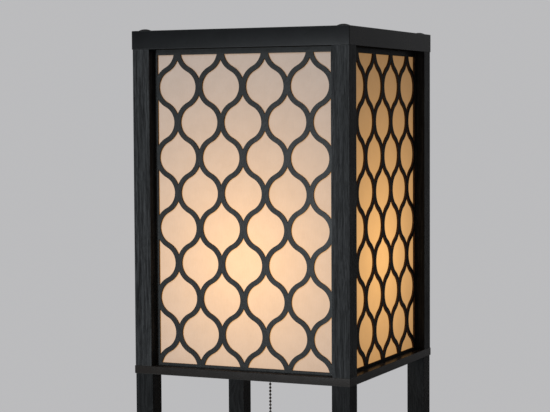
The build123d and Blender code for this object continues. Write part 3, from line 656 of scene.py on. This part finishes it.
def chain_bell(material):
    """Small bell: a collar, a waist and a round end."""
    full, waist, waist_drop = 0.004, 0.0021, 0.0022
    collar_drops = ((0.0024, 0.0018), (0.0025, 0.0012), (0.0024, 0.0006), (0.0019, 0.0),
                    (0.0, 0.0))                                        # radius, down from the top
    top, widest = pendant_high.z, pendant_low.z + full
    end = arc(full, widest, -90.0, 0.0, count=12)
    end[0, 0] = 0.0
    flank = eased((full, widest), (waist, top - waist_drop), (0, 1), (0, 1), count=16)
    collar = [(radius, top - drop) for radius, drop in collar_drops]
    profile = np.concatenate([end, flank[1:], collar])
    grid_piece("chain_bell", turned(profile, columns=28, x=chain_x), material,
               "pull", "chain_pendant")


def lever_spring(material):
    """Coil of five turns of round wire under the lever, which presses it to under half its
    height."""
    wire, turns = 0.00025, 5
    centre = (spring_low + spring_high) / 2
    coil = (spring_high.x - spring_low.x) / 2 - wire
    points = coiled(centre, coil, wire, spring_low.z + wire, spring_high.z - wire, turns,
                    rows=130, columns=10)
    piece = grid_piece("lever_spring", points, material, "frame", "return_spring")
    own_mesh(piece)


# ---------------------------------------------------------------- dressing
sides = ("front", "right", "back", "left")
corners = ("front_left", "front_right", "back_right", "back_left")


def dress(material, *names):
    for name in names:
        for slot in nodes[name].material_slots:
            slot.material = material


def dress_posts():
    """Foil on the posts: streaks on the shade's own, arches on the darker ones below."""
    heart = (shade_post_low.x + shade_post_high.x) / 2
    dress(grained_foil("shade post foil", shade_post_low, shade_post_high, heart, arches=0.12),
          *[f"shade_post_{corner}" for corner in corners])
    heart = (post_low.x + post_high.x) / 2
    for name in ("lower_posts", "middle_posts", "foot_posts",
                 *[f"upper_post_{corner}" for corner in corners]):
        low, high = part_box(name)
        foil = grained_foil(f"{name} foil", (post_low.x, post_low.y, low.z),
                            (post_high.x, post_high.y, high.z), heart, arches=0.9, pale=tier_pale)
        dress(foil, name)


def dress_boards():
    """Foil on the shelves and the crossbar, whose grain runs across the lamp, and satin black on
    the mitred rails, whose inner faces are at the crossbar's ends."""
    shelf_heart = 0.03
    for name in ("shelf_lower", "shelf_middle", "shelf_upper"):
        low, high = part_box(name)
        low = (-high.x, -high.y, low.z)
        dress(grained_foil(f"{name} foil", low, high, shelf_heart, "X", arches=0.9), name)
    bar_low, bar_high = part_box("crossbar")
    for name, low, high, dark, pale, crown in (
            ("top", top_rail_low, top_rail_high, top_dark, top_pale, 0.00018),
            ("base", base_rail_low, base_rail_high, base_dark, base_pale, 0.00002)):
        low, high = Vector((0, bar_high.y, low.z)), Vector((0, frame_half, high.z))
        dress(satin_band(f"{name} rail satin", low, high, dark, pale, crown),
              *[f"{name}_rail_{side}" for side in sides])
    bar_low = (-bar_high.x, -bar_high.y, bar_low.z)
    dress(grained_foil("crossbar foil", bar_low, bar_high, 0.0, "X"), "crossbar")


def dress_panels():
    """Lattices, the front and back ones a little glossier, and the lit paper behind them."""
    for along, level, pair in (((0, 1, 0), 0.036, ("front", "back")),
                               ((1, 0, 0), 0.008, ("right", "left"))):
        dress(cut_lattice(f"lattice {pair[0]}", along, level),
              *[f"lattice_{side}" for side in pair])
    dress(lit_paper("lit paper"), *[f"diffuser_{side}" for side in sides])


def dress_fittings():
    """Plastics, metals, glass and dowels, and the smooth pieces in place of the turned and
    threaded ones."""
    dress(plain_black("batten black", (0.007, 0.007, 0.007, 1), (0.013, 0.012, 0.012, 1),
                      smooth=0.6, rough=0.75, scale=90.0), "stop_battens")
    dress(plain_black("moulded black", (0.016, 0.014, 0.013, 1), (0.028, 0.025, 0.023, 1),
                      smooth=0.3, rough=0.42, scale=140.0, level=0.5), "switch_block", "bulb_tip")
    dress(plain_black("glide plastic", (0.014, 0.014, 0.014, 1), (0.022, 0.022, 0.022, 1),
                      smooth=0.45, rough=0.6, scale=200.0), "foot_glides", "cord_bushing")
    dress(beech("beech"), "frame_dowels")
    dress(plain_black("bolt black oxide", (0.006, 0.006, 0.007, 1), (0.012, 0.012, 0.012, 1),
                      smooth=0.5, rough=0.65, scale=260.0, level=0.06), "top_bolts")

    drawn_up, turned_round = (1, 1, 0.1), (0.1, 0.1, 1)
    zinc = plain_metal("bright zinc", (0.66, 0.67, 0.69, 1), (0.48, 0.48, 0.48, 1),
                       smooth=0.22, rough=0.4, lines=drawn_up)
    brass = plain_metal("socket brass", (0.78, 0.57, 0.27, 1), (0.52, 0.35, 0.16, 1),
                        smooth=0.25, rough=0.42, lines=turned_round)
    contact = plain_metal("contact brass", (0.84, 0.64, 0.32, 1), (0.62, 0.44, 0.2, 1),
                          smooth=0.2, rough=0.35)
    steel = plain_metal("plain steel", (0.55, 0.55, 0.56, 1), (0.36, 0.35, 0.34, 1),
                        smooth=0.25, rough=0.45)
    blackened = plain_metal("blackened chain", (0.075, 0.072, 0.069, 1), (0.03, 0.028, 0.026, 1),
                            smooth=0.25, rough=0.42)
    aluminium = plain_metal("spun aluminium", (0.78, 0.78, 0.79, 1), (0.58, 0.58, 0.58, 1),
                            smooth=0.2, rough=0.38, lines=turned_round)
    globe = lit_glass("frosted glass")
    dress(zinc, "tie_studs", "post_inserts", "pipe_nuts", "pipe_washers", "lamp_pipe")
    dress(brass, "socket_cap", "socket_shell", "chain_guide")
    dress(contact, "centre_contact", "terminal_screws", "contact_rotor", "screw_shell")
    dress(steel, "switch_lever", "lever_pin", "return_spring", "bulb_filament")
    dress(blackened, "pull_chain", "chain_pendant")
    dress(aluminium, "bulb_base")
    dress(clear_glass("stem glass"), "bulb_stem")
    dress(globe, "bulb_glass")
    bulb_globe(globe)
    bulb_screw(aluminium)
    socket_liner(contact)
    bead_chain(blackened)
    chain_bell(blackened)
    lever_spring(steel)


# ---------------------------------------------------------------- floor, lights and background
background = (0.50, 0.50, 0.51, 1)
floor_seen, floor_felt = (0.86, 0.86, 0.87, 1), (0.40, 0.40, 0.40, 1)
sky_colour = (0.92, 0.96, 1.0, 1)


def set_floor():
    """Round pale floor that fades into the background well away from the lamp."""
    reach, segments = 7.0, 96
    fade_start, fade_end = 0.35, 1.9
    angle = np.arange(segments) * 2 * pi / segments
    rim = np.stack([reach * np.cos(angle), reach * np.sin(angle), 0 * angle], -1)
    mesh = bpy.data.meshes.new("floor")
    mesh.from_pydata(rim.tolist(), [], [list(range(segments))])
    material = bpy.data.materials.new("floor")
    material.use_nodes = True
    material.node_tree.nodes.clear()
    g = Graph(material.node_tree)
    place = g.add("ShaderNodeTexCoord").outputs["Object"]
    away = g.spread(g.vector("LENGTH", place), fade_start, fade_end)
    seen = g.add("ShaderNodeLightPath").outputs["Is Camera Ray"]
    near = g.add("ShaderNodeBsdfDiffuse", {"Color": g.blend(seen, floor_felt, floor_seen)})
    far = g.add("ShaderNodeEmission", {"Color": background, "Strength": 1.0})
    both = g.add("ShaderNodeMixShader", {0: g.math("MULTIPLY", away, seen), 1: near.outputs[0],
                                         2: far.outputs[0]})
    g.add("ShaderNodeOutputMaterial", {"Surface": both.outputs[0]})
    mesh.materials.append(material)
    floor = bpy.data.objects.new("floor", mesh)
    bpy.context.scene.collection.objects.link(floor)


def set_world(fill):
    """Pale background for what the camera sees, directly or in gloss and glass, and a soft even
    fill for everything else."""
    world = bpy.data.worlds.new("studio")
    world.use_nodes = True
    world.node_tree.nodes.clear()
    g = Graph(world.node_tree)
    ray = g.add("ShaderNodeLightPath").outputs
    mirrored = g.math("MAXIMUM", ray["Is Glossy Ray"], ray["Is Transmission Ray"])
    seen = g.math("MAXIMUM", ray["Is Camera Ray"], mirrored)
    soft = g.add("ShaderNodeBackground", {"Color": sky_colour, "Strength": fill})
    shown = g.add("ShaderNodeBackground", {"Color": background, "Strength": 1.0})
    both = g.add("ShaderNodeMixShader", {0: seen, 1: soft.outputs[0], 2: shown.outputs[0]})
    g.add("ShaderNodeOutputWorld", {"Surface": both.outputs[0]})
    bpy.context.scene.world = world


def softbox(name, place, aim, size, power, colour):
    """Square area light at a place, turned to its aim."""
    light = bpy.data.lights.new(name, "AREA")
    light.shape, light.size, light.energy, light.color = "SQUARE", size, power, colour
    lamp = bpy.data.objects.new(name, light)
    lamp.rotation_mode = "QUATERNION"
    lamp.location = place
    lamp.rotation_quaternion = (Vector(aim) - Vector(place)).to_track_quat("-Z", "Y")
    bpy.context.scene.collection.objects.link(lamp)


bpy.context.scene.view_settings.view_transform = "Standard"
set_camera()
set_floor()
set_world(fill=0.12)
softbox("key", place=(-0.9, -3.8, 3.3), aim=(0, 0, 1.2), size=1.4, power=96.0,
        colour=(0.93, 0.97, 1.0))
softbox("low", place=(-1.34, -3.9, 1.14), aim=(0, 0, 1.4), size=0.5, power=98.0,
        colour=(0.90, 0.96, 1.0))
softbox("fill", place=(3.2, 1.6, 2.2), aim=(0, 0, 1.2), size=2.2, power=3.0,
        colour=(1.0, 0.75, 0.58))
dress_posts()
dress_boards()
dress_panels()
dress_fittings()
